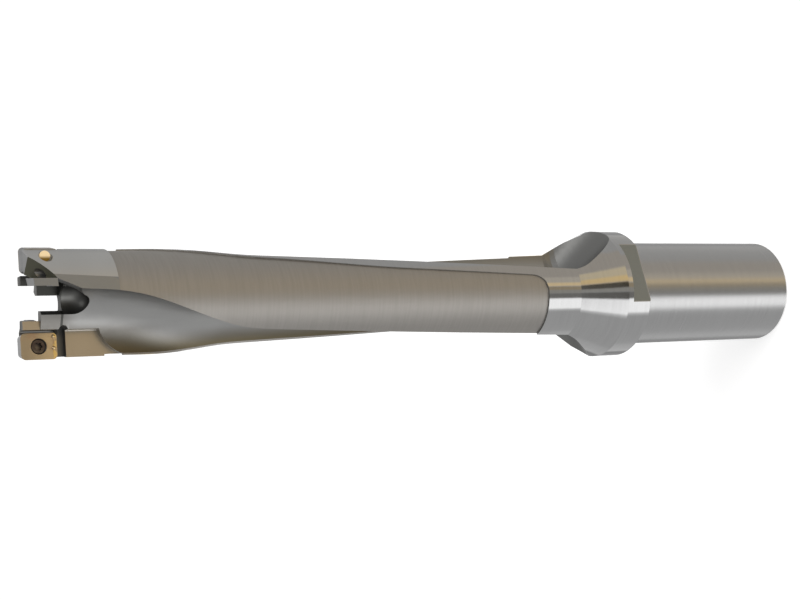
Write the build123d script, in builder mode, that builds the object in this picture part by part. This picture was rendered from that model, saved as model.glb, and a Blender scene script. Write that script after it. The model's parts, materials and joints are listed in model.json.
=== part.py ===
from build123d import *
import math
import os

# Indexable drill, upright on its shank end: millimetres, origin at the centre of the shank's end face,
# +Z along the tool axis to the tip. The side of the first flute, with the first insert's rake, is -Y.

# Shank and collar
shank_radius = 16.0
shank_length = 60.0
shank_chamfer = 0.6
collar_radius = 19.6
collar_band = 8.6
collar_cone = 13.7
collar_edge = 0.4

# Fluted body and tip
body_radius = 14.0
cut_radius = 14.4
body_length = 189.2

# Chip flutes: each is the path of a round cutter whose centre turns about the axis. Towards the tip the
# turn is faster for a while and the cutter grows to its size at the head. The tip fixes the flute's angle
flute_count = 2
flute_radius = 10.4
head_flute_radius = 12.0
web_half = 4.3
land_angle_at_tip = -27.275
slow_turn_per_mm = 0.25
fast_turn = 35.0
fast_turn_below_tip = 63.1
fast_turn_length = 42.0
runout_above_collar = 21.0
runout_blend = 3.0
runout_slope = 1.25

# Relief turned into each land, which leaves a margin along the land's leading edge
relief_depth = 0.45
relief_from_neck = 11.9
relief_below_tip = 21.9
relief_corner_length = 5.0
relief_corner_turn = 17.0
margin_turn = 11.5
margin_turn_at_head = 2.5
margin_fades_below_tip = 106.9
margin_fades_length = 55.0

# Spanner flat on the collar
spanner_flat_angle = -68.0
spanner_flat_distance = 17.1
spanner_flat_length = 6.8

# Outer inserts
rake_angle = -82.0
rake_below_axis = 1.0
insert_width = 6.85
insert_length = 9.4
insert_thick = 3.6
insert_corner = 1.2
insert_lead_in = 0.2
insert_side_in = 0.9
insert_rim = 0.9
insert_rim_depth = 0.15
insert_ahead = 0.1
bump_radius = 0.5
bump_spacing = 3.0
bump_inward = 1.0

# Insert seats and the chip space around them
seat_clearance = 0.05
seat_side_gap = 0.6
notch_length = 2.4
notch_depth = 2.4
notch_inward = 1.0
gullet_step = 0.4
gullet_length = 20.0
gullet_bend = (1.9, 3.5)
gullet_foot = (6.3, 6.7)
pad_width = 2.6
pad_length = 4.5
pad_level = 1.2

# Insert screws
screw_radius = 1.4
screw_head_radius = 1.75
screw_head_angle = 60.0
screw_head_rim = 0.2
screw_sunk = 0.65
screw_sink_radius = 2.15
screw_clearance = 0.08
screw_short_of_land = 0.5
torx_inner = 0.85
torx_lobe = 0.32
torx_lobe_ring = 0.8
torx_depth = 1.3
screw_exit_radius = 1.8
screw_exit_depth = 1.3

# Empty seat of the exchangeable centre head
head_slot_width = 9.0
head_slot_depth = 4.5
slit_width = 3.9
slit_depth = 10.2
head_radius = 8.3
head_depth = 9.8
lug_face = 0.6
block_face = -0.4
scoop_radius = 3.8
scoop_web = 1.2
scoop_length = 16.4
scoop_offset = 0.55
scoop_mouth = ((-3.0, -0.6), (0.5, -3.2), (6.5, -5.8))

# Lands at the tip: a flat along each leading edge, turned with the flute and rounded out at its end
edge_flat_turn = -39.0
edge_flat_depth = 0.2
edge_flat_length = 22.0
edge_flat_end = 4.0
edge_flat_end_depth = 0.06
facet_normal = (-0.408, -0.507, 0.759)
facet_point = (11.8, -7.5)
facet_from = 6.4
heel_angle = 25.0
heel_drop = 0.6

# Coolant: inlet and supply hole in the shank, then one channel to each land
inlet_radius = 5.5
inlet_depth = 14.0
supply_radius = 3.5
supply_depth = 60.0
channel_radius = 1.3
channel_start = 1.8
channel_distance = 11.2
channel_lag = -20.0
channel_rise = 26.0

# Spacing of the sections that the turned cutters are drawn through
flute_step = 7.0
runout_step = 1.5
relief_step = 6.0
corner_step = 0.8
channel_step = 9.0

# Worked out from the sizes above
collar_top = shank_length + collar_band
neck = collar_top + collar_cone
tip = shank_length + body_length
fast_from = tip - fast_turn_below_tip
seat_back = tip + insert_ahead - insert_length
insert_outer = math.sqrt(cut_radius**2 - rake_below_axis**2)
insert_inner = insert_outer - insert_width
seat_inner = insert_inner - seat_side_gap
seat_floor = rake_below_axis + insert_thick
screw_height = tip + insert_ahead - insert_length / 2
screw_out = insert_outer - insert_width / 2
land_over_screw = math.sqrt(body_radius**2 - screw_out**2)
over = 5.0


def eased(share):
    """Smooth step from 0 to 1 as share goes from 0 to 1."""
    share = min(max(share, 0.0), 1.0)
    return share * share * (3 - 2 * share)


def land_angle(z):
    """Direction of the middle of the first land at height z, in degrees from +X."""
    fast_left = fast_turn * (1 - eased((z - fast_from) / fast_turn_length))
    return land_angle_at_tip - slow_turn_per_mm * (tip - z) - fast_left


def cutter_radius(z):
    """Radius of the round cutter of a flute at height z."""
    return flute_radius + (head_flute_radius - flute_radius) * eased((z - fast_from) / fast_turn_length)


def land_half(z):
    """Half the width of a land at height z, in degrees."""
    out = web_half + cutter_radius(z)
    reach = (body_radius**2 + out**2 - cutter_radius(z) ** 2) / (2 * body_radius * out)
    return 90.0 - math.degrees(math.acos(reach))


def direction(angle):
    return (math.cos(math.radians(angle)), math.sin(math.radians(angle)), 0)


def stations(low, high, step):
    """Heights from low to high, evenly spaced, about step apart."""
    count = max(2, math.ceil((high - low) / step) + 1)
    return [low + (high - low) * i / (count - 1) for i in range(count)]


def turned_plane(z, angle):
    """Plane square to the axis at height z, with its x direction at the given angle."""
    return Plane(origin=(0, 0, z), x_dir=direction(angle), z_dir=(0, 0, 1))


def runout_rise(z):
    """How far the flute cutter has lifted off its full depth at height z."""
    below = shank_length + runout_above_collar - z
    if below <= 0:
        return 0.0
    if below < runout_blend:
        return runout_slope * below * below / (2 * runout_blend)
    return runout_slope * (below - runout_blend / 2)


def channel_out(z):
    """Distance of a coolant channel from the axis at height z."""
    share = min(max((z - supply_depth) / channel_rise, 0.0), 1.0)
    return channel_start + (channel_distance - channel_start) * share


def margin_at(z):
    """Width of the margin along a land's leading edge, in degrees."""
    share = eased((z - tip + margin_fades_below_tip) / margin_fades_length)
    return margin_turn + (margin_turn_at_head - margin_turn) * share


# Planes of the first insert: x runs along the tool, y out from the axis, z out of the rake face
rake_normal = Vector(*direction(rake_angle))
through_axis = Plane(origin=(0, 0, 0), x_dir=(0, 0, 1), z_dir=rake_normal)
rake_face = through_axis.offset(-rake_below_axis)
screw_top = Plane(
    origin=through_axis.from_local_coords(Vector(screw_height, screw_out, -rake_below_axis - screw_sunk)),
    x_dir=(0, 0, 1),
    z_dir=rake_normal,
)


def relief_section(z, corner):
    """Face of the relief cutter at height z; corner takes degrees off its leading side."""
    low = -land_half(z) - over
    high = land_half(z) - margin_at(z) - corner
    half = (high - low) / 2
    middle = land_angle(z) + (high + low) / 2
    inner = body_radius - relief_depth
    outer = body_radius + relief_depth
    with BuildSketch(turned_plane(z, middle)) as section:
        with BuildLine():
            CenterArc((0, 0), inner, -half, 2 * half)
            CenterArc((0, 0), outer, -half, 2 * half)
            for side in (-half, half):
                ray = Vector(*direction(side))
                Line(ray * inner, ray * outer)
        make_face()
    return section.sketch


def edge_flat_section(z, depth):
    """Face of the cutter of a leading edge's flat at height z, this deep in the land."""
    with BuildSketch(turned_plane(z, land_angle(z) + edge_flat_turn)) as section:
        with Locations((body_radius - depth + over / 2, 0)):
            Rectangle(over, body_radius)
    return section.sketch


def flute_section(z):
    """Face of the flute cutter at height z."""
    with BuildSketch(turned_plane(z, land_angle(z) - 90)) as section:
        with Locations((web_half + cutter_radius(z) + runout_rise(z), 0)):
            Circle(cutter_radius(z))
    return section.sketch


# Cutter path of one chip flute from the neck to past the tip, and its way out through the collar
runout_top = shank_length + runout_above_collar
with BuildPart() as flute:
    for z in stations(runout_top, tip + over, flute_step):
        add(flute_section(z))
    loft()

with BuildPart() as flute_runout:
    for z in stations(shank_length + 1, runout_top, runout_step):
        add(flute_section(z))
    loft(ruled=True)

relief_start = neck + relief_from_neck
relief_end = tip - relief_below_tip

# Relief of one land behind its corner, and the rounded corner beside the neck
with BuildPart() as relief:
    for z in stations(relief_start + relief_corner_length, relief_end, relief_step):
        add(relief_section(z, 0.0))
    loft()

with BuildPart() as relief_corner:
    for z in stations(relief_start, relief_start + relief_corner_length, corner_step):
        share = (z - relief_start) / relief_corner_length
        add(relief_section(z, relief_corner_turn * (1 - math.sqrt(1 - (1 - share) ** 2))))
    loft(ruled=True)

# Coolant channel of one land
with BuildPart() as channel:
    for z in stations(supply_depth - 2, tip + over, channel_step):
        with BuildSketch(turned_plane(z, land_angle(z) + channel_lag)):
            with Locations((channel_out(z), 0)):
                Circle(channel_radius)
    loft(ruled=True)

# Seat of one insert with its notch, the chip space behind it and the pad beside it
with BuildPart() as seat:
    reach = body_radius + over
    with BuildSketch(through_axis.offset(-seat_floor)):
        low = seat_back - seat_clearance
        with Locations(((low + tip + over) / 2, (seat_inner + reach) / 2)):
            Rectangle(tip + over - low, reach - seat_inner)
    extrude(amount=seat_floor + over)
    with BuildSketch(through_axis.offset(-rake_below_axis - notch_depth)):
        notch_inner = seat_inner - notch_inward
        with Locations((seat_back - notch_length / 2, (notch_inner + reach) / 2)):
            RectangleRounded(notch_length, reach - notch_inner, notch_length / 2 - seat_clearance)
    extrude(amount=rake_below_axis + notch_depth + over)
    low = tip - gullet_length
    foot = (low - gullet_foot[0], seat_inner + gullet_foot[1])
    with BuildSketch(through_axis.offset(-rake_below_axis - gullet_step)):
        with BuildLine():
            ThreePointArc((low, seat_inner), (low - gullet_bend[0], seat_inner + gullet_bend[1]), foot)
            Polyline(foot, (foot[0], reach), (seat_back, reach), (seat_back, seat_inner), (low, seat_inner))
        make_face()
    extrude(amount=rake_below_axis + gullet_step + over / 2)
    with BuildSketch(through_axis.offset(pad_level)):
        with Locations((tip - pad_length / 2 + over / 2, seat_inner - pad_width / 2)):
            Rectangle(pad_length + over, pad_width + seat_clearance)
    extrude(amount=over)

# Threaded hole of one insert screw and the counterbore where it leaves the land
with BuildPart() as screw_hole:
    with BuildSketch(screw_top):
        Circle(screw_radius + screw_clearance)
    extrude(amount=-land_over_screw - over)
    with BuildSketch(screw_top.offset(screw_exit_depth + rake_below_axis - land_over_screw)):
        Circle(screw_exit_radius)
    extrude(amount=-over - screw_exit_depth)

# Space of the centre head on one side: round outside, stepped back to the lug and the block
with BuildPart() as head_space:
    with BuildSketch(Plane.XY.offset(tip - head_depth)):
        Circle(head_radius)
        with Locations((0, head_radius - lug_face)):
            Rectangle(4 * head_radius, 2 * head_radius, mode=Mode.SUBTRACT)
        with Locations((-head_radius - slit_width / 2, 0)):
            Rectangle(2 * head_radius, 4 * head_radius, mode=Mode.SUBTRACT)
        with Locations(((head_slot_width - slit_width) / 4, -head_radius / 2 - block_face / 2)):
            Rectangle((head_slot_width + slit_width) / 2, head_radius - block_face)
    extrude(amount=head_depth + over)

# Scoop that leads the centre head's chips into the flute: round bottom and nose, open to the outside
# with a slanted side below the lug
with BuildPart() as scoop:
    nose = tip - scoop_length + scoop_radius
    scoop_axis = scoop_web + scoop_radius
    with BuildSketch(Plane.XY.offset(nose)):
        with Locations((scoop_offset, -scoop_axis)):
            Circle(scoop_radius)
    extrude(amount=tip + over - nose)
    with Locations((scoop_offset, -scoop_axis, nose)):
        Sphere(scoop_radius)
    with BuildSketch(Plane(origin=(scoop_offset, -scoop_axis, nose), x_dir=(0, 0, 1), z_dir=(0, -1, 0))):
        far = tip + over - nose
        root = (scoop_mouth[-1][0], -scoop_radius)
        with BuildLine():
            Polyline(
                (far, scoop_radius), (0, scoop_radius), *scoop_mouth, root, (far, -scoop_radius), close=True
            )
        make_face()
    extrude(amount=body_radius + over)

# Flat along the leading edge of one land, and its rounded end
with BuildPart() as edge_flat:
    for z in stations(tip - edge_flat_length + edge_flat_end, tip + over, relief_step):
        add(edge_flat_section(z, edge_flat_depth))
    loft()

with BuildPart() as edge_flat_runout:
    for z in stations(tip - edge_flat_length, tip - edge_flat_length + edge_flat_end, corner_step):
        share = (z - tip + edge_flat_length) / edge_flat_end
        deeper = (edge_flat_depth - edge_flat_end_depth) * math.sqrt(1 - (1 - share) ** 2)
        add(edge_flat_section(z, edge_flat_end_depth + deeper))
    loft(ruled=True)

# Facet at the front corner of the land on the +X side
with BuildPart() as facet:
    with BuildSketch(Plane(origin=(*facet_point, tip), z_dir=facet_normal)):
        Rectangle(4 * body_radius, 4 * body_radius)
    extrude(amount=body_radius)
    split(bisect_by=Plane(origin=(facet_from, 0, 0), z_dir=(1, 0, 0)), keep=Keep.TOP)

# Front of the land on the -X side, which falls away behind the insert
with BuildPart() as heel:
    far = seat_floor + body_radius
    fall = heel_drop + body_radius * math.tan(math.radians(heel_angle))
    with BuildSketch(Plane(origin=(0, 0, tip), x_dir=rake_normal, z_dir=direction(rake_angle - 90))):
        with BuildLine():
            Polyline((-seat_floor, -heel_drop), (-far, -fall), (-far, over), (-seat_floor, over), close=True)
        make_face()
    extrude(amount=body_radius + over)

# Body: shank, collar, fluted part and tip in one piece of steel
with BuildPart() as drill_body:
    with BuildSketch(Plane.XZ):
        with BuildLine():
            Polyline(
                (0, 0),
                (shank_radius - shank_chamfer, 0),
                (shank_radius, shank_chamfer),
                (shank_radius, shank_length),
                (collar_radius - collar_edge, shank_length),
                (collar_radius, shank_length + collar_edge),
                (collar_radius, collar_top),
                (body_radius, neck),
                (body_radius, tip),
                (0, tip),
                close=True,
            )
        make_face()
    revolve()
    spanner_plane = Plane(origin=(0, 0, shank_length), x_dir=(0, 0, 1), z_dir=direction(spanner_flat_angle))
    with BuildSketch(spanner_plane.offset(spanner_flat_distance)):
        with Locations((spanner_flat_length / 2, 0)):
            Rectangle(spanner_flat_length, 2 * collar_radius)
    extrude(amount=collar_radius, mode=Mode.SUBTRACT)
    with BuildSketch():
        Circle(inlet_radius)
    extrude(amount=inlet_depth, mode=Mode.SUBTRACT)
    with BuildSketch():
        Circle(supply_radius)
    extrude(amount=supply_depth, mode=Mode.SUBTRACT)
    with PolarLocations(0, flute_count):
        add(channel.part, mode=Mode.SUBTRACT)
        add(flute.part, mode=Mode.SUBTRACT)
        add(flute_runout.part, mode=Mode.SUBTRACT)
        add(relief.part, mode=Mode.SUBTRACT)
        add(relief_corner.part, mode=Mode.SUBTRACT)
        add(seat.part, mode=Mode.SUBTRACT)
        add(screw_hole.part, mode=Mode.SUBTRACT)
        add(head_space.part, mode=Mode.SUBTRACT)
        add(scoop.part, mode=Mode.SUBTRACT)
        add(edge_flat.part, mode=Mode.SUBTRACT)
        add(edge_flat_runout.part, mode=Mode.SUBTRACT)
    add(facet.part, mode=Mode.SUBTRACT)
    add(heel.part, mode=Mode.SUBTRACT)
    with BuildSketch(Plane.XY.offset(tip - head_slot_depth)):
        Rectangle(head_slot_width, 4 * body_radius)
    extrude(amount=head_slot_depth + over, mode=Mode.SUBTRACT)
    with BuildSketch(Plane.XY.offset(tip - slit_depth)):
        Rectangle(slit_width, 4 * body_radius)
    extrude(amount=slit_depth + over, mode=Mode.SUBTRACT)

# Insert: carbide plate with relieved flanks, a sunk chip former and a countersunk hole
with BuildPart() as outer_insert_front:
    with BuildSketch(rake_face):
        with Locations((screw_height, screw_out)):
            RectangleRounded(insert_length, insert_width, insert_corner)
    with BuildSketch(rake_face.offset(-insert_thick)):
        with Locations((screw_height, screw_out + (insert_lead_in - insert_side_in) / 2)):
            RectangleRounded(
                insert_length - 2 * insert_lead_in,
                insert_width - insert_lead_in - insert_side_in,
                insert_corner - insert_lead_in,
            )
    loft(ruled=True)
    with BuildSketch(rake_face):
        with Locations((screw_height, screw_out)):
            RectangleRounded(
                insert_length - 2 * insert_rim, insert_width - 2 * insert_rim, insert_corner - insert_rim / 2
            )
    extrude(amount=-insert_rim_depth, mode=Mode.SUBTRACT)
    bump_plane = rake_face.offset(-insert_rim_depth)
    for y in (-bump_spacing / 2, bump_spacing / 2):
        with Locations(bump_plane):
            with Locations((seat_back + insert_rim, screw_out - bump_inward + y)):
                Sphere(bump_radius)
    sink_depth = (screw_head_radius - screw_radius) / math.tan(math.radians(screw_head_angle / 2))
    with BuildSketch(screw_top.offset(screw_sunk)):
        Circle(screw_radius + screw_clearance)
    extrude(amount=-insert_thick - over, mode=Mode.SUBTRACT)
    with BuildSketch(screw_top.offset(-screw_head_rim - sink_depth)):
        Circle(screw_radius + screw_clearance)
    with BuildSketch(screw_top.offset(-screw_head_rim)):
        Circle(screw_head_radius + screw_clearance)
    with BuildSketch(screw_top.offset(screw_sunk)):
        Circle(screw_sink_radius)
    loft(ruled=True, mode=Mode.SUBTRACT)

with BuildPart() as outer_insert_back:
    add(outer_insert_front.part, rotation=(0, 0, 360 / flute_count))

# Screw: countersunk head with a six-lobed socket
with BuildPart() as screw:
    with BuildSketch(screw_top):
        Circle(screw_head_radius)
    extrude(amount=-screw_head_rim)
    with BuildSketch(screw_top.offset(-screw_head_rim)):
        Circle(screw_head_radius)
    with BuildSketch(screw_top.offset(-screw_head_rim - sink_depth)):
        Circle(screw_radius)
    loft(ruled=True)
    with BuildSketch(screw_top.offset(-screw_head_rim - sink_depth)):
        Circle(screw_radius)
    extrude(
        amount=screw_head_rim + sink_depth + screw_sunk + rake_below_axis + screw_short_of_land - land_over_screw
    )
    with BuildSketch(screw_top):
        Circle(torx_inner)
        with PolarLocations(torx_lobe_ring, 6):
            Circle(torx_lobe)
    extrude(amount=-torx_depth, mode=Mode.SUBTRACT)

with BuildPart() as insert_screws:
    with PolarLocations(0, flute_count):
        add(screw.part)

nodes = {
    "drill_body": drill_body,
    "outer_insert_front": outer_insert_front,
    "outer_insert_back": outer_insert_back,
    "insert_screws": insert_screws,
}

os.makedirs("parts", exist_ok=True)
for name, piece in nodes.items():
    piece.part.label = name
    export_step(piece.part, f"parts/{name}.step")
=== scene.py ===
# %% [markdown]
# # An indexable drill, dressed for its picture
#
# The drill is a long steel cutter. A ground shank goes into the machine, a collar stops it, and two chip
# flutes wind up to a tip where small carbide plates, the inserts, do the cutting. All of it is hard and
# was turned, milled or ground to size. Such shapes could be modelled again in Blender, but the CAD model
# already has every edge in its place. So the lesson loads those solids as they are and gives them their
# finishes, a studio and a camera.

# %% Load the CAD model
import json
import math

import bpy
from mathutils import Euler, Matrix, Vector

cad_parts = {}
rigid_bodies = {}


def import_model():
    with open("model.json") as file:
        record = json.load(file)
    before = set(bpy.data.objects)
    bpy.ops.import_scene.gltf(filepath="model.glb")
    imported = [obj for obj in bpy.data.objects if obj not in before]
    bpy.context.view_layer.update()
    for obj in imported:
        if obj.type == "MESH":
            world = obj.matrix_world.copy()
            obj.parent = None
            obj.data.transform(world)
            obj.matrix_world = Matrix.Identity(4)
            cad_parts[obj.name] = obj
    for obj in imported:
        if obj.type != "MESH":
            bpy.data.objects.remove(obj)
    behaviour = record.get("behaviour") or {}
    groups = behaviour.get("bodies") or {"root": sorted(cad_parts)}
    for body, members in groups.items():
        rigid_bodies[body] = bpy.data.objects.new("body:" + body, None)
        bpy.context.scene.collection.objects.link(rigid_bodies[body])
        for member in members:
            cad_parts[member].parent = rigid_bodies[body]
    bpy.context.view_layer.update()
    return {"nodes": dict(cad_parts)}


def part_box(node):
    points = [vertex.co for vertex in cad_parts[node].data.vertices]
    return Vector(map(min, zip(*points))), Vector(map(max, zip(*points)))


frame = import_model()
nodes = frame["nodes"]
bpy.ops.object.select_all(action="DESELECT")
scene = bpy.context.scene
scene.view_settings.view_transform = "Standard"
print("pieces:", sorted(nodes))

# %% [markdown]
# ## The camera
#
# The drill stands on its shank in the model, and the picture shows it lying down. The drill could be laid
# down, but then it would no longer be where the CAD model has it. So the camera is turned instead: it
# looks down on the drill at thirty degrees and is rolled by a quarter turn, which puts the tip on the
# left. The distance sets the perspective: the tip is nearer to the lens than the shank.

# %% Camera
MM = 0.001
camera_place = Vector((2.68, -380.59, 357.28)) * MM
camera_turn = 0.525
camera_height_angle = 29.995
camera_roll = -91.051

camera_data = bpy.data.cameras.new("camera")
camera_data.sensor_width = 36.0
camera_data.lens = 67.88
camera_data.clip_start = 0.01
camera_data.clip_end = 20.0
camera = bpy.data.objects.new("camera", camera_data)
scene.collection.objects.link(camera)
looking = Euler((math.radians(90 - camera_height_angle), 0, math.radians(camera_turn)))
camera.matrix_world = (
    Matrix.Translation(camera_place)
    @ looking.to_matrix().to_4x4()
    @ Matrix.Rotation(math.radians(camera_roll), 4, "Z")
)
scene.camera = camera
print("camera at", [round(value, 3) for value in camera_place])

# %% [markdown]
# ## Small helpers for shader nodes
#
# A material in Blender is a graph of nodes. It can be wired by hand in the shader editor, or line by line
# in code. These helpers add a node, fill its inputs and link it in one line, so that each finish below
# reads like its recipe.


# %% Feed a socket, add a node
def feed(tree, value, socket):
    """Links another node's output into the socket, or sets it to a number or a colour."""
    if isinstance(value, bpy.types.NodeSocket):
        tree.links.new(value, socket)
    else:
        socket.default_value = value


def add(tree, kind, **inputs):
    """A new node, with its inputs fed by their names."""
    node = tree.nodes.new(kind)
    for name, value in inputs.items():
        feed(tree, value, node.inputs[name.replace("_", " ")])
    return node


print("helpers for nodes: feed, add")


# %% Sums with numbers and vectors
def maths(tree, operation, a, b=0.0):
    """The result of one Math node."""
    node = tree.nodes.new("ShaderNodeMath")
    node.operation = operation
    feed(tree, a, node.inputs[0])
    feed(tree, b, node.inputs[1])
    return node.outputs[0]


def vector_maths(tree, operation, a, b=(0, 0, 0)):
    """One Vector Math node, whose outputs are a Vector and a Value."""
    node = tree.nodes.new("ShaderNodeVectorMath")
    node.operation = operation
    feed(tree, a, node.inputs[0])
    feed(tree, b, node.inputs[1])
    return node.outputs


def along(tree, vector, axis):
    """How far a vector reaches along an axis."""
    return vector_maths(tree, "DOT_PRODUCT", vector, axis)["Value"]


print("helpers for sums: maths, vector_maths, along")

# %% Ramps and blends
MIX_COLOUR_INPUTS = (0, 6, 7)
MIX_COLOUR_OUTPUT = 2


def ramp_up(tree, value, start, end):
    """0 at start, 1 at end, smooth between."""
    node = add(tree, "ShaderNodeMapRange", Value=value, From_Min=start, From_Max=end)
    node.interpolation_type = "SMOOTHSTEP"
    return node.outputs["Result"]


def blend_value(tree, share, under, over):
    """A number between two, by share."""
    return add(tree, "ShaderNodeMapRange", Value=share, To_Min=under, To_Max=over).outputs["Result"]


def blend_colour(tree, share, under, over):
    """A colour between two, by share."""
    node = tree.nodes.new("ShaderNodeMix")
    node.data_type = "RGBA"
    for index, value in zip(MIX_COLOUR_INPUTS, (share, under, over)):
        feed(tree, value, node.inputs[index])
    return node.outputs[MIX_COLOUR_OUTPUT]


def blend_shader(tree, share, under, over):
    """A shader between two, by share."""
    node = tree.nodes.new("ShaderNodeMixShader")
    for socket, value in zip(node.inputs, (share, under.outputs[0], over.outputs[0])):
        feed(tree, value, socket)
    return node.outputs[0]


print("helpers for blends: ramp_up, blend_value, blend_colour, blend_shader")


# %% Masks
def is_not(tree, mask):
    """1 where the mask is 0."""
    return maths(tree, "SUBTRACT", 1.0, mask)


def within(tree, value, low, high):
    """1 where the value lies between low and high."""
    above = maths(tree, "GREATER_THAN", value, low)
    return maths(tree, "MULTIPLY", above, maths(tree, "LESS_THAN", value, high))


def all_of(tree, *masks):
    """1 where every mask is 1."""
    result = masks[0]
    for mask in masks[1:]:
        result = maths(tree, "MULTIPLY", result, mask)
    return result


def any_of(tree, first, second):
    """1 where one of two masks is 1."""
    return maths(tree, "MAXIMUM", first, second)


print("helpers for masks: is_not, within, all_of, any_of")


# %% Noise and greys
def noise(tree, place, scale, stretch=(1, 1, 1), detail=3.0):
    """Noise on object coordinates, stretched along an axis where its scale there is small."""
    mapping = add(tree, "ShaderNodeMapping", Vector=place, Scale=stretch)
    return add(tree, "ShaderNodeTexNoise", Vector=mapping.outputs[0], Scale=scale, Detail=detail).outputs[0]


def grey(value):
    """A grey as a colour with full opacity."""
    return (value, value, value, 1.0)


print("helpers for colours: noise, grey")

# %% [markdown]
# ## The studio
#
# Bare steel has hardly any colour of its own: it shows what stands around it. Real cards could be modelled
# and hung around the drill, but they would stand in the way of some views. So the room is drawn on the
# world instead, where every view of the drill gets the same one. A card is a band of the room at some
# angle around the standing drill, counted from the camera. Positive angles are the upper side of the
# picture. The card straight behind the drill lies where that angle jumps from plus to minus a half turn.

# %% An empty world and the angle around the drill
HALF_TURN = 180.0
world = bpy.data.worlds.new("studio")
scene.world = world
world.use_nodes = True
sky = world.node_tree
sky.nodes.clear()

direction = sky.nodes.new("ShaderNodeTexCoord").outputs["Generated"]
axes = add(sky, "ShaderNodeSeparateXYZ", Vector=direction).outputs
towards_camera = maths(sky, "MULTIPLY", axes["Y"], -1.0)
turn = maths(sky, "ARCTAN2", axes["X"], towards_camera)
around_drill = maths(sky, "MULTIPLY", turn, HALF_TURN / math.pi)
print("world:", world.name)


# %% Hang cards in the room
def hang(cards, room):
    """Lays each card over the room: its name, middle, half width and soft edge in degrees, and colour."""
    for name, middle, half_width, edge, colour in cards:
        apart = maths(sky, "ABSOLUTE", maths(sky, "SUBTRACT", around_drill, middle))
        if middle == HALF_TURN:
            apart = maths(sky, "SUBTRACT", HALF_TURN, maths(sky, "ABSOLUTE", around_drill))
        outside = ramp_up(sky, apart, half_width - edge / 2, half_width + edge / 2)
        room = blend_colour(sky, is_not(sky, outside), room, colour)
        print("card:", name, "at", middle, "degrees")
    return room


# %% [markdown]
# The room is the same white as the background. A bright softbox stands on the lower side of the camera and
# gives the long highlight on the shank. On its upper side hangs a warm card, which gives the gold line
# beside it. Grey panels to both sides and dark flags behind make the steel fall off towards its outlines,
# and the narrow gap at the camera is the dark line between the highlights.

# %% Cards around the drill
CARDS = (
    ("softbox on the far side", HALF_TURN, 15.0, 6.0, grey(1.1)),
    ("dark flag above", 150.0, 14.0, 8.0, grey(0.5)),
    ("dark flag below", -150.0, 15.0, 8.0, grey(0.45)),
    ("grey panel above", 92.0, 46.0, 16.0, (0.8, 0.79, 0.77, 1)),
    ("brown panel", 59.0, 17.0, 8.0, (0.84, 0.77, 0.68, 1)),
    ("warm card", 37.0, 8.0, 6.0, (1.05, 0.96, 0.82, 1)),
    ("gold edge of the warm card", 26.0, 4.5, 5.0, (1.6, 1.25, 0.75, 1)),
    ("shade beside the warm card", 15.5, 5.0, 4.0, (0.72, 0.6, 0.42, 1)),
    ("grey strip", 7.5, 4.0, 3.0, (0.66, 0.64, 0.58, 1)),
    ("gap at the camera", -3.0, 6.5, 3.0, (0.42, 0.41, 0.39, 1)),
    ("soft side of the softbox", -38.0, 5.0, 5.0, grey(1.6)),
    ("white softbox", -22.5, 13.0, 5.0, grey(2.7)),
    ("grey panel below", -73.0, 34.0, 10.0, grey(0.89)),
)
room = hang(CARDS, grey(1.0))

# %% [markdown]
# The camera looks down on the drill, so an upright wall such as the shank mirrors what hangs low in the
# room. The cone behind the collar leans back and mirrors what hangs higher. It shows deeper gaps and a
# richer gold than the shank does, so it gets four cards of its own, above the others. Heights in the room
# are the Z of a direction, from minus one straight down to one straight up.

# %% Cards for the cone
HIGH_CARDS_FROM = -0.25
HIGH_CARDS_FULL = -0.1
HIGH_CARDS = (
    ("upper warm card", 37.0, 8.0, 6.0, (1.35, 1.15, 0.8, 1)),
    ("upper gold edge", 26.0, 5.0, 5.0, (1.7, 1.25, 0.6, 1)),
    ("dark gap beside the warm card", 15.0, 4.5, 3.0, (0.09, 0.07, 0.03, 1)),
    ("dark gap at the camera", -3.0, 5.5, 3.0, (0.2, 0.19, 0.17, 1)),
)
high = ramp_up(sky, axes["Z"], HIGH_CARDS_FROM, HIGH_CARDS_FULL)
room = blend_colour(sky, high, room, hang(HIGH_CARDS, room))

# %% [markdown]
# Above the cards the room turns grey, and its ceiling is darker still, so that the faces of the tip, which
# look up, don't glare. The camera itself sees plain white behind the drill.

# %% Upper room, ceiling and background
UPPER_ROOM = (0.05, 0.3, grey(0.75))
CEILING = (0.55, 0.8, grey(0.3))
for start, end, colour in (UPPER_ROOM, CEILING):
    room = blend_colour(sky, ramp_up(sky, axes["Z"], start, end), room, colour)
    print("room turns to grey", colour[0], "above Z", start)

room_light = add(sky, "ShaderNodeBackground", Color=room, Strength=1.0)
white_back = add(sky, "ShaderNodeBackground", Color=grey(1.0), Strength=1.0)
camera_ray = sky.nodes.new("ShaderNodeLightPath").outputs["Is Camera Ray"]
add(sky, "ShaderNodeOutputWorld", Surface=blend_shader(sky, camera_ray, room_light, white_back))

# %% [markdown]
# ## Lamp and floor
#
# The room alone lights the steel evenly and leaves the floor without a shadow. A small lamp would draw
# hard edges, so one large soft disk hangs above the drill.

# %% Lamp
lamp_target = Vector((0, 0, 0.1))
lamp_data = bpy.data.lights.new("soft_lamp", "AREA")
lamp_data.shape = "DISK"
lamp_data.size = 0.9
lamp_data.energy = 6.0
lamp = bpy.data.objects.new("soft_lamp", lamp_data)
lamp.location = (0.55, -0.35, 1.1)
lamp.rotation_mode = "QUATERNION"
lamp.rotation_quaternion = (lamp_target - lamp.location).to_track_quat("-Z", "Y")
scene.collection.objects.link(lamp)
print("lamp:", round(lamp_data.size, 2), "m wide, at", [round(value, 2) for value in lamp.location])

# %% [markdown]
# The floor is white paper. A brighter lamp would make it white too, but would also bleach the drill. So
# the paper glows a little, and only where the camera, a mirror or glass shows it: it stays white, lights
# nothing, and still shows the lamp's shadow. Steel that stands on paper would mirror the paper and not the
# cards that hang low, so the floor is left out of reflections.

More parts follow.
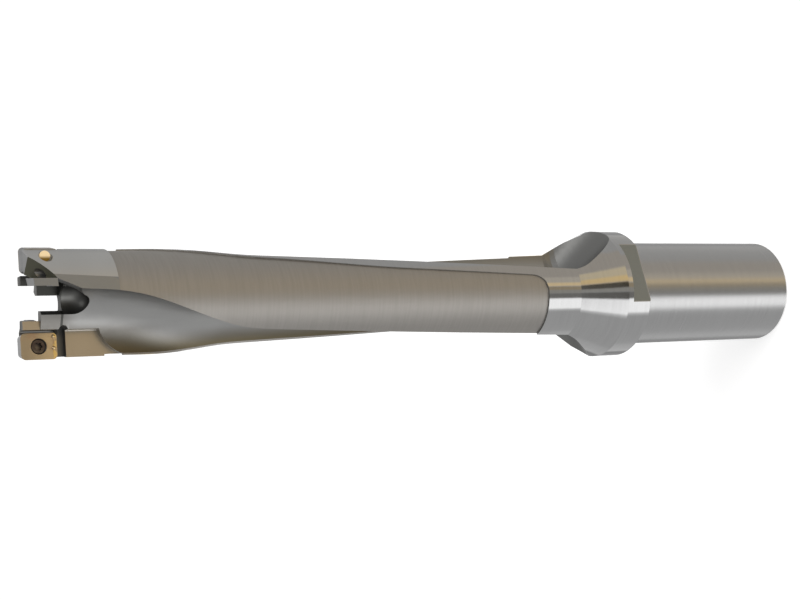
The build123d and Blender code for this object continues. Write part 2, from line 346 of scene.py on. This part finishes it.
# %% Floor
FLOOR_SIZE = 12.0
PAPER_GREY = 0.8
PAPER_GLOW = 0.58

bpy.ops.mesh.primitive_plane_add(size=FLOOR_SIZE, location=(0, 0, 0))
floor = bpy.context.object
floor.name = "floor"
floor.visible_glossy = False

paper = bpy.data.materials.new("white_paper")
paper.use_nodes = True
sheet = paper.node_tree
sheet.nodes.clear()
plain = add(sheet, "ShaderNodeBsdfDiffuse", Color=grey(PAPER_GREY))
glow = add(sheet, "ShaderNodeEmission", Color=grey(1.0), Strength=PAPER_GLOW)
glowing = sheet.nodes.new("ShaderNodeAddShader")
feed(sheet, plain.outputs[0], glowing.inputs[0])
feed(sheet, glow.outputs[0], glowing.inputs[1])
ray = sheet.nodes.new("ShaderNodeLightPath").outputs
mirrored = any_of(sheet, ray["Is Glossy Ray"], ray["Is Transmission Ray"])
seen = any_of(sheet, ray["Is Camera Ray"], mirrored)
add(sheet, "ShaderNodeOutputMaterial", Surface=blend_shader(sheet, seen, plain, glowing))
floor.data.materials.append(paper)
print("floor:", FLOOR_SIZE, "m wide, glow", PAPER_GLOW)

# %% [markdown]
# ## Steel of the drill body
#
# One piece of steel has many finishes. The shank, collar, cone and neck are ground bright. The lands, the
# ribs between the flutes, are turned back a little and look warm grey, with fine marks around them, and a
# narrow margin along each land is left ground. The flutes and the head are milled and look matte. Each
# finish could be a material of its own on its own faces, but the CAD mesh is loose triangles that stay as
# they are. So one material works out where a point of the body lies and takes the finish of that place.

# %% Heights and radii that part the finishes
tip_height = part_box("drill_body")[1].z
SHANK_END = 60.0 * MM
COLLAR_BAND = 68.6 * MM
NECK = 82.3 * MM
RELIEF_FROM = 94.2 * MM
RELIEF_TO = 227.3 * MM
COLLAR_RADIUS = 19.6 * MM
BODY_RADIUS = 14.0 * MM
RELIEF_RADIUS = 13.55 * MM
print("tip height in mm:", round(tip_height / MM, 1))


# %% Helpers for a metal
def new_metal(name):
    """A material with a bare metal surface; returns it, its node tree and the surface."""
    material = bpy.data.materials.new(name)
    material.use_nodes = True
    tree = material.node_tree
    tree.nodes.clear()
    surface = add(tree, "ShaderNodeBsdfPrincipled", Metallic=1.0)
    add(tree, "ShaderNodeOutputMaterial", Surface=surface.outputs[0])
    return material, tree, surface


def dress(tree, surface, colour, roughness, grain, depth):
    """Gives a metal surface its colour, its roughness and a grain of some depth."""
    bump = add(tree, "ShaderNodeBump", Height=grain, Distance=depth, Strength=1.0)
    feed(tree, colour, surface.inputs["Base Color"])
    feed(tree, roughness, surface.inputs["Roughness"])
    feed(tree, bump.outputs[0], surface.inputs["Normal"])


def give(node_name, material):
    """The CAD piece wears this material all over."""
    slots = nodes[node_name].data.materials
    slots.clear()
    slots.append(material)
    print(node_name, "wears", material.name)


# %% Where a point of the body lies
body_steel, steel, steel_surface = new_metal("body_steel")
coordinates = steel.nodes.new("ShaderNodeTexCoord").outputs
place = coordinates["Object"]
normal = coordinates["Normal"]
xyz = add(steel, "ShaderNodeSeparateXYZ", Vector=place).outputs
height = xyz["Z"]
flat_place = add(steel, "ShaderNodeCombineXYZ", X=xyz["X"], Y=xyz["Y"]).outputs[0]
radius = vector_maths(steel, "LENGTH", flat_place)["Value"]
print("measured at each point: place, normal, height, radius")

# %% [markdown]
# A grinding wheel only reaches the outside of a turned piece. Its outline goes from the collar's radius
# down to the body's in one straight ramp, the cone. A point is ground where it lies on that outline, and
# the shank is ground all over.

# %% Ground parts
ON_OUTLINE = 0.12 * MM
OVER_THE_EDGE = 0.2 * MM

outline = add(
    steel,
    "ShaderNodeMapRange",
    Value=height,
    From_Min=COLLAR_BAND,
    From_Max=NECK,
    To_Min=COLLAR_RADIUS,
    To_Max=BODY_RADIUS,
)
below_outline = maths(steel, "SUBTRACT", outline.outputs["Result"], radius)
on_outline = maths(steel, "LESS_THAN", below_outline, ON_OUTLINE)
below_head = maths(steel, "LESS_THAN", height, RELIEF_TO)
on_shank = maths(steel, "LESS_THAN", height, SHANK_END + OVER_THE_EDGE)
ground = any_of(steel, all_of(steel, on_outline, below_head), on_shank)
milled = is_not(steel, ground)
print("ground: shank, collar, cone, neck and margins")

# %% [markdown]
# The lands lie just under that outline, between the neck and the head. The head is the last part of the
# body, which isn't turned back. The run-outs are where the flutes climb through the cone, and the spanner
# flat is milled across the collar. A height and a radius are enough to find each of them, and the flat is
# also the only milled face there that stands upright.

# %% Lands, head, run-outs and spanner flat
UNDER_THE_RELIEF = 0.1 * MM
HEAD_DEPTH = 0.5 * MM
FLAT_BELOW_BAND = 0.3 * MM
FLAT_RADIUS = 16.5 * MM
UPRIGHT = 0.1

on_land = maths(steel, "GREATER_THAN", radius, RELIEF_RADIUS - UNDER_THE_RELIEF)
past_neck = maths(steel, "GREATER_THAN", height, RELIEF_FROM)
land = all_of(steel, on_land, past_neck, below_head)
on_head = maths(steel, "GREATER_THAN", radius, BODY_RADIUS - HEAD_DEPTH)
head = all_of(steel, on_head, maths(steel, "GREATER_THAN", height, RELIEF_TO))
runout = all_of(steel, milled, maths(steel, "LESS_THAN", height, NECK))

leaning = maths(steel, "ABSOLUTE", along(steel, normal, (0, 0, 1)))
on_collar = maths(steel, "LESS_THAN", height, COLLAR_BAND - FLAT_BELOW_BAND)
outside_shank = maths(steel, "GREATER_THAN", radius, FLAT_RADIUS)
upright = maths(steel, "LESS_THAN", leaning, UPRIGHT)
spanner_flat = all_of(steel, milled, on_collar, outside_shank, upright)
print("milled: lands, head, run-outs and spanner flat")

# %% [markdown]
# The flats around each insert get a painted warm reflection: their colour is gold. They all face the way
# that the insert's cutting face does, which is called its rake. So a point lies on one of them where the
# steel faces that way and is at the level of the gullet, behind the insert, or of the pad. The gullet's
# flat has a painted highlight along its rim.

# %% Painted gold reflection on the flats
RAKE_TURN = math.radians(-82.0)
GULLET_FLAT = 1.4 * MM
GULLET_EDGE = 6.9 * MM
PAD_FLAT = 1.2 * MM
LEVEL_SLACK = 0.1 * MM
RIM_WIDTH = 0.3 * MM
SQUARE_ON = 0.96
PAINTED_GOLD_FROM = tip_height - 28 * MM

rake_normal = Vector((math.cos(RAKE_TURN), math.sin(RAKE_TURN), 0))
rake_outward = rake_normal.cross(Vector((0, 0, 1)))
facing = along(steel, normal, rake_normal)
before_rake = along(steel, place, rake_normal)
outward = along(steel, place, rake_outward)
outward_reach = maths(steel, "ABSOLUTE", outward)

level = maths(steel, "MULTIPLY", before_rake, facing)
on_gullet = within(steel, level, -GULLET_FLAT - LEVEL_SLACK, -GULLET_FLAT + LEVEL_SLACK)
on_pad = within(steel, level, PAD_FLAT - LEVEL_SLACK, PAD_FLAT + LEVEL_SLACK)
square_on = maths(steel, "GREATER_THAN", maths(steel, "ABSOLUTE", facing), SQUARE_ON)
near_tip = maths(steel, "GREATER_THAN", height, PAINTED_GOLD_FROM)
# painted warm reflection: the flats beside the inserts are coloured gold
painted_gold_reflection = all_of(steel, any_of(steel, on_gullet, on_pad), square_on, near_tip)
at_rim = within(steel, outward_reach, GULLET_EDGE - LEVEL_SLACK, GULLET_EDGE + RIM_WIDTH)
# painted highlight along the rim of the gullet flat
painted_rim_highlight = all_of(steel, painted_gold_reflection, on_gullet, at_rim)
print("gold: flats beside the inserts, rim of the gullet")

# %% [markdown]
# Narrow corners get painted shade: the notch that a cutter leaves behind each insert, and the scoop at the
# root of the centre head's seat. The back of the drill has the same corners, turned by half a turn. So a
# point is first turned onto the front side, and the scoop is measured there once.

# %% A point turned onto the front side
side = maths(steel, "SIGN", xyz["Y"])
front_x = maths(steel, "MULTIPLY", maths(steel, "MULTIPLY", xyz["X"], side), -1.0)
front_y = maths(steel, "MULTIPLY", maths(steel, "ABSOLUTE", xyz["Y"]), -1.0)
print("both sides measured as the front")

# %% Notch behind each insert
SEAT_BACK = tip_height - 9.3 * MM
NOTCH_LENGTH = 2.4 * MM
NOTCH_END_SLACK = 0.02 * MM
NOTCH_TOP = 0.05 * MM
NOTCH_DEPTH = 3.5 * MM
NOTCH_INNER = 5.5 * MM

notch_height = within(steel, height, SEAT_BACK - NOTCH_LENGTH - NOTCH_END_SLACK, SEAT_BACK + LEVEL_SLACK)
notch_depth = within(steel, maths(steel, "ABSOLUTE", before_rake), GULLET_FLAT + NOTCH_TOP, NOTCH_DEPTH)
notch_reach = maths(steel, "GREATER_THAN", outward_reach, NOTCH_INNER)
behind_rake = maths(steel, "LESS_THAN", maths(steel, "MULTIPLY", before_rake, outward), 0.0)
notch = all_of(steel, notch_height, notch_depth, notch_reach, behind_rake)
print("notch from", round((SEAT_BACK - NOTCH_LENGTH) / MM, 1), "to", round(SEAT_BACK / MM, 1), "mm high")

# %% Scoop at the root of the seat
SCOOP_NOSE = Vector((0.55 * MM, -5.0 * MM, tip_height - 12.6 * MM))
SCOOP_RADIUS = 3.8 * MM
SCOOP_SLACK = 0.04 * MM

from_nose = add(
    steel,
    "ShaderNodeCombineXYZ",
    X=maths(steel, "SUBTRACT", front_x, SCOOP_NOSE.x),
    Y=maths(steel, "SUBTRACT", front_y, SCOOP_NOSE.y),
    Z=maths(steel, "MINIMUM", maths(steel, "SUBTRACT", height, SCOOP_NOSE.z), 0.0),
)
scoop_reach = vector_maths(steel, "LENGTH", from_nose.outputs[0])["Value"]
scoop = maths(steel, "LESS_THAN", scoop_reach, SCOOP_RADIUS + SCOOP_SLACK)
# painted shade: the notch and the scoop are darkened in colour
painted_corner_shade = any_of(steel, notch, scoop)
print("scoop nose", round(SCOOP_NOSE.z / MM, 1), "mm high")

# %% [markdown]
# The empty seat of the centre head gets the darkest painted shade, on its floor and on the walls between
# its lugs. The web around it and the facet that the coolant leaves through get painted shade as well,
# though less. The web fades into the flutes, so it is found by ramps and not by sharp limits.

# %% Painted shade in the centre seat, on the web of the tip and on the facet
HEAD_FLOOR = tip_height - 9.8 * MM
FLOOR_SLACK = 0.5 * MM
FLOOR_TOP = 0.15 * MM
SEAT_RADIUS = 8.35 * MM
LUG_WALLS = 1.0 * MM
WEB_RADII = (7.5 * MM, 9.5 * MM)
WEB_HEIGHTS = (tip_height - 15 * MM, tip_height - 9 * MM)
FACET_NORMAL = (-0.408, -0.507, 0.759)
FACET_SQUARE_ON = 0.99
FACET_FROM = tip_height - 14 * MM

in_seat = maths(steel, "LESS_THAN", radius, SEAT_RADIUS)
between_lugs = maths(steel, "GREATER_THAN", front_y, -LUG_WALLS)
above_floor = maths(steel, "GREATER_THAN", height, HEAD_FLOOR - FLOOR_SLACK)
seat_floor = within(steel, height, HEAD_FLOOR - FLOOR_SLACK, HEAD_FLOOR + FLOOR_TOP)
seat_wall = all_of(steel, between_lugs, above_floor, in_seat)
# painted shade: the seat's floor and the walls between its lugs are darkened in colour
centre_seat_shade = any_of(steel, seat_wall, all_of(steel, seat_floor, in_seat))

beyond_web = ramp_up(steel, radius, *WEB_RADII)
# painted shade on the web of the tip, fading out into the flutes
tip_web_shade = all_of(steel, ramp_up(steel, height, *WEB_HEIGHTS), is_not(steel, beyond_web))
facet_side = maths(steel, "GREATER_THAN", along(steel, normal, FACET_NORMAL), FACET_SQUARE_ON)
# painted shade on the facet that the coolant leaves through
facet_shade = all_of(steel, facet_side, maths(steel, "GREATER_THAN", height, FACET_FROM))
print("seat floor", round(HEAD_FLOOR / MM, 1), "mm high")

# %% [markdown]
# One wall of each flute gets a brown painted shade, darkest near the edge of the land, and deeper into the
# flute towards the head. The other wall gets a grey painted shade near its edge. A height or a radius can't
# tell the two walls apart, because the flutes twist. But one wall looks forwards around the axis and the
# other looks backwards, at any height of the twist.

# %% Flute walls, with painted shade
FLUTE_TOP = tip_height - 12 * MM
WALL_RAMP = (0.0, 5 * MM)
CHIP_WALL_RADII = (7.0 * MM, 13.5 * MM)
FAR_WALL_RADII = (9.0 * MM, 14.0 * MM)
# painted shade deeper in the chip wall near the head, between these radii and heights
SHADE_START_RADII = (5.0 * MM, 7.8 * MM)
SHADE_START_HEIGHTS = (tip_height - 42.2 * MM, tip_height - 27.2 * MM)

forwards = vector_maths(steel, "CROSS_PRODUCT", (0, 0, 1), flat_place)["Vector"]
wall_side = along(steel, forwards, normal)
chip_side = ramp_up(steel, wall_side, *WALL_RAMP)
far_side = ramp_up(steel, maths(steel, "MULTIPLY", wall_side, -1.0), *WALL_RAMP)
in_flute = all_of(steel, milled, is_not(steel, land), maths(steel, "LESS_THAN", height, FLUTE_TOP))
# brown painted shade on the wall that looks forwards
chip_wall_shade = all_of(steel, in_flute, chip_side, ramp_up(steel, radius, *CHIP_WALL_RADII))
# grey painted shade near the edge of the wall that looks backwards
far_wall_shade = all_of(steel, in_flute, far_side, ramp_up(steel, radius, *FAR_WALL_RADII))
near_head = ramp_up(steel, height, *SHADE_START_HEIGHTS)
# painted shade that reaches deeper into the flute towards the head
painted_shade_start = all_of(steel, in_flute, chip_side, near_head, ramp_up(steel, radius, *SHADE_START_RADII))
print("flutes end", round(FLUTE_TOP / MM, 1), "mm high")

# %% [markdown]
# A narrow flat is milled along the leading edge of each land where it passes the head. It mirrors the
# brown panel, so its own colour is darker and bluer than the head's, and it still looks a plain dark grey.
# It turns with the flute, so its angle around the axis is worked out from the height.

# %% Edge flats
FLAT_TURN_AT_TIP = -66.275
FLAT_LEADING = 16.0
FLAT_TRAILING = 9.7
TURN_PER_METRE = 250.0

front_turn = maths(steel, "MULTIPLY", maths(steel, "ARCTAN2", front_y, front_x), HALF_TURN / math.pi)
flute_turn = maths(steel, "MULTIPLY", maths(steel, "SUBTRACT", height, tip_height), TURN_PER_METRE)
from_flat = maths(steel, "SUBTRACT", front_turn, maths(steel, "ADD", flute_turn, FLAT_TURN_AT_TIP))
edge_flat = all_of(steel, head, within(steel, from_flat, -FLAT_LEADING, FLAT_TRAILING))
print("edge flats:", FLAT_LEADING + FLAT_TRAILING, "degrees wide")

# %% [markdown]
# No finish is one flat colour. Turning and grinding leave fine rings around the axis, which are noise
# squeezed along the height, and milling leaves an even grain and faint clouds. An image of scratches
# would need unwrapped faces. Noise on the object's own coordinates needs none, and its grain has its real
# size.

# %% Grain
fine = noise(steel, place, 1400.0, detail=4.0)
cloud = noise(steel, place, 55.0, detail=2.0)
rings = noise(steel, place, 1.0, stretch=(60.0, 60.0, 9000.0), detail=2.0)
streaks = noise(steel, place, 1.0, stretch=(90.0, 90.0, 1500.0), detail=3.0)
patches = ramp_up(steel, cloud, 0.3, 0.7)
streak_share = ramp_up(steel, streaks, 0.25, 0.75)
grain = blend_value(steel, any_of(steel, on_shank, land), fine, rings)
print("noises of the body: fine, cloud, rings, streaks")

# %% [markdown]
# The finishes, and the painted shade, reflection and highlight, are laid over the matte steel one after the
# other, each through its mask. Where two masks meet, the later one wins, so the painted shade of corners
# and seats, which lie inside other finishes, comes last. The colours look dark for steel, but the room is
# white, and steel this dark mirrors it as a middle grey.

# %% Mottled colours
matte_colour = blend_colour(steel, patches, (0.28, 0.28, 0.275, 1), (0.305, 0.305, 0.3, 1))
head_colour = blend_colour(steel, patches, (0.365, 0.365, 0.36, 1), (0.385, 0.385, 0.38, 1))
land_colour = blend_colour(steel, streak_share, (0.265, 0.253, 0.237, 1), (0.285, 0.273, 0.256, 1))
ground_colour = blend_colour(steel, streak_share, grey(0.29), grey(0.305))
# painted warm reflection for the flats, mottled
painted_gold_reflection_colour = blend_colour(steel, patches, (0.345, 0.295, 0.225, 1), (0.375, 0.32, 0.245, 1))
# painted shade for the notch and the scoop, mottled
painted_shade_colour = blend_colour(steel, patches, (0.1, 0.1, 0.095, 1), (0.14, 0.14, 0.135, 1))
print("mottled: matte, head, land, ground, gold, painted shade in the corners")

# %% Lay the finishes and the painted shade over the matte steel
FINISHES = (
    # painted shade at the start of the chip wall, near the head
    ("painted shade at the start of the chip wall", painted_shade_start, (0.15, 0.145, 0.135, 1)),
    # brown painted shade on the chip wall
    ("chip wall", chip_wall_shade, (0.1, 0.085, 0.055, 1)),
    # grey painted shade on the far wall
    ("far wall", far_wall_shade, (0.17, 0.17, 0.165, 1)),
    # painted shade on the web of the tip
    ("web of the tip", tip_web_shade, (0.165, 0.16, 0.15, 1)),
    ("head", head, head_colour),
    ("edge flat", edge_flat, (0.205, 0.212, 0.22, 1)),
    # painted shade on the coolant facet
    ("facet_shade", facet_shade, (0.15, 0.148, 0.11, 1)),
    ("run-out", runout, (0.17, 0.17, 0.165, 1)),
    ("spanner flat", spanner_flat, (0.185, 0.2, 0.2, 1)),
    ("land", land, land_colour),
    ("ground steel", ground, ground_colour),
    # painted warm reflection on the flats beside the inserts
    ("painted gold reflection on the flats", painted_gold_reflection, painted_gold_reflection_colour),
    # painted highlight on the gullet flat's rim
    ("painted highlight on the gullet rim", painted_rim_highlight, (0.8, 0.76, 0.7, 1)),
    # painted shade in the notch and the scoop
    ("painted shade in the corners", painted_corner_shade, painted_shade_colour),
    # painted shade, darkest of all, in the centre seat
    ("centre seat", centre_seat_shade, (0.065, 0.065, 0.06, 1)),
)
body_colour = matte_colour
for finish, mask, colour in FINISHES:
    body_colour = blend_colour(steel, mask, body_colour, colour)
    print("finish:", finish)

# %% [markdown]
# Roughness sets how sharply the steel mirrors the cards. The collar, cone and neck are nearly mirrors, the
# shank is ground less fine, and milled steel blurs the cards into soft bands. The rings vary it on the
# shank and the lands, and the fine grain varies it elsewhere.

# %% Roughness of the body
matte_roughness = blend_value(steel, fine, 0.38, 0.48)
land_roughness = blend_value(steel, rings, 0.5, 0.58)
shank_roughness = blend_value(steel, rings, 0.2, 0.3)
collar_roughness = blend_value(steel, fine, 0.05, 0.13)
ground_roughness = blend_value(steel, on_shank, collar_roughness, shank_roughness)
milled_roughness = blend_value(steel, land, matte_roughness, land_roughness)
body_roughness = blend_value(steel, ground, milled_roughness, ground_roughness)

BODY_GRAIN = 0.0015 * MM
dress(steel, steel_surface, body_colour, body_roughness, grain, BODY_GRAIN)
give("drill_body", body_steel)

# %% [markdown]
# ## Carbide of the inserts
#
# The cutting face of an insert, its rake face, is coated and looks gold. Cutting has heated it in places.
# The gold turns lighter towards the back edge, and a painted highlight, a glint, runs along that edge. The
# flanks are ground after coating and stay grey. Two materials on two sets of faces could show that, but the
# rake face is flat, so how far a point lies behind its plane tells them apart in one. The two inserts look
# opposite ways, so each gets its own copy of the material.

# %% Colours and depths of the carbide
RAKE_BELOW_AXIS = 1.0 * MM
GOLD_FADES = 0.35 * MM
GOLD_FULL = 0.2 * MM
# the gold coating turns lighter towards the back edge between these two heights
PALER_FROM = SEAT_BACK + 8.5 * MM
PALER_FULL = SEAT_BACK + 0.5 * MM
# painted highlight: a glint along the back edge of the rake face, between these two heights
GLINT_FROM = SEAT_BACK + 0.15 * MM
GLINT_TO = SEAT_BACK + 1.0 * MM
COATING = (0.33, 0.275, 0.2, 1)
PALER_COATING = (0.5, 0.4, 0.26, 1)
HEAT_TINT = (0.36, 0.26, 0.18, 1)
GLINT_GOLD = (0.68, 0.5, 0.2, 1)
SMALL_PIECE_GRAIN = 0.006 * MM
print("coating is worn", round(PALER_FULL / MM, 1), "to", round(PALER_FROM / MM, 1), "mm high")


# %% Inserts
def carbide(name, rake):
    """Coated carbide: gold near the plane of this rake, grey behind it."""
    material, tree, surface = new_metal(name)
    spot = tree.nodes.new("ShaderNodeTexCoord").outputs["Object"]
    spot_height = add(tree, "ShaderNodeSeparateXYZ", Vector=spot).outputs["Z"]
    speckle = noise(tree, spot, 1500.0, detail=3.0)
    mottle = ramp_up(tree, noise(tree, spot, 260.0, detail=4.0), 0.35, 0.65)
    heated = ramp_up(tree, noise(tree, spot, 190.0, detail=3.0), 0.45, 0.7)
    glint_patches = ramp_up(tree, noise(tree, spot, 700.0, detail=2.0), 0.42, 0.55)

    # lighter gold towards the back edge of the rake face
    paler = ramp_up(tree, spot_height, PALER_FROM, PALER_FULL)
    # painted highlight along the back edge, broken up by noise
    painted_edge_glint = all_of(tree, within(tree, spot_height, GLINT_FROM, GLINT_TO), glint_patches)
    gold = blend_colour(tree, paler, COATING, PALER_COATING)
    gold = blend_colour(tree, heated, gold, HEAT_TINT)
    gold = blend_colour(tree, painted_edge_glint, gold, GLINT_GOLD)
    flank = blend_colour(tree, mottle, grey(0.24), grey(0.28))

    depth = along(tree, spot, rake)
    coated = ramp_up(tree, depth, -RAKE_BELOW_AXIS - GOLD_FADES, -RAKE_BELOW_AXIS - GOLD_FULL)
    roughness = blend_value(tree, speckle, 0.3, 0.42)
    dress(tree, surface, blend_colour(tree, coated, flank, gold), roughness, speckle, SMALL_PIECE_GRAIN)
    return material


give("outer_insert_front", carbide("coated_carbide_front", rake_normal))
give("outer_insert_back", carbide("coated_carbide_back", -rake_normal))

# %% [markdown]
# ## Insert screws
#
# The small screws are hardened and blackened steel, with faint rub marks all over.
# Their cut-off ends show in the lands, with painted light on the outer side and painted shade on the inner
# one. The ends lie far from the rake plane, so that distance finds them, and no piece has to be cut in two.

# %% Screws
SCREW_END = 8.0 * MM
SCREW_END_SHADE = (10.2 * MM, 11.2 * MM)

screw_steel, blackened, screw_surface = new_metal("screw_steel")
screw_place = blackened.nodes.new("ShaderNodeTexCoord").outputs["Object"]
screw_grain = noise(blackened, screw_place, 1200.0, detail=3.0)
rub_marks = ramp_up(blackened, noise(blackened, screw_place, 420.0, detail=2.0), 0.4, 0.7)
screw_colour = blend_colour(blackened, rub_marks, (0.07, 0.055, 0.05, 1), (0.14, 0.12, 0.1, 1))

screw_depth = maths(blackened, "ABSOLUTE", along(blackened, screw_place, rake_normal))
screw_outward = maths(blackened, "ABSOLUTE", along(blackened, screw_place, rake_outward))
# painted light and shade on the cut-off screw ends: bright on the outer side, dark on the inner one
painted_end_light = ramp_up(blackened, screw_outward, *SCREW_END_SHADE)
painted_end_light_and_shade = blend_colour(blackened, painted_end_light, (0.2, 0.13, 0.03, 1), (1.0, 0.88, 0.66, 1))
cut_off = maths(blackened, "GREATER_THAN", screw_depth, SCREW_END)
screw_colour = blend_colour(blackened, cut_off, screw_colour, painted_end_light_and_shade)
screw_roughness = blend_value(blackened, screw_grain, 0.28, 0.42)
dress(blackened, screw_surface, screw_colour, screw_roughness, screw_grain, SMALL_PIECE_GRAIN)
give("insert_screws", screw_steel)
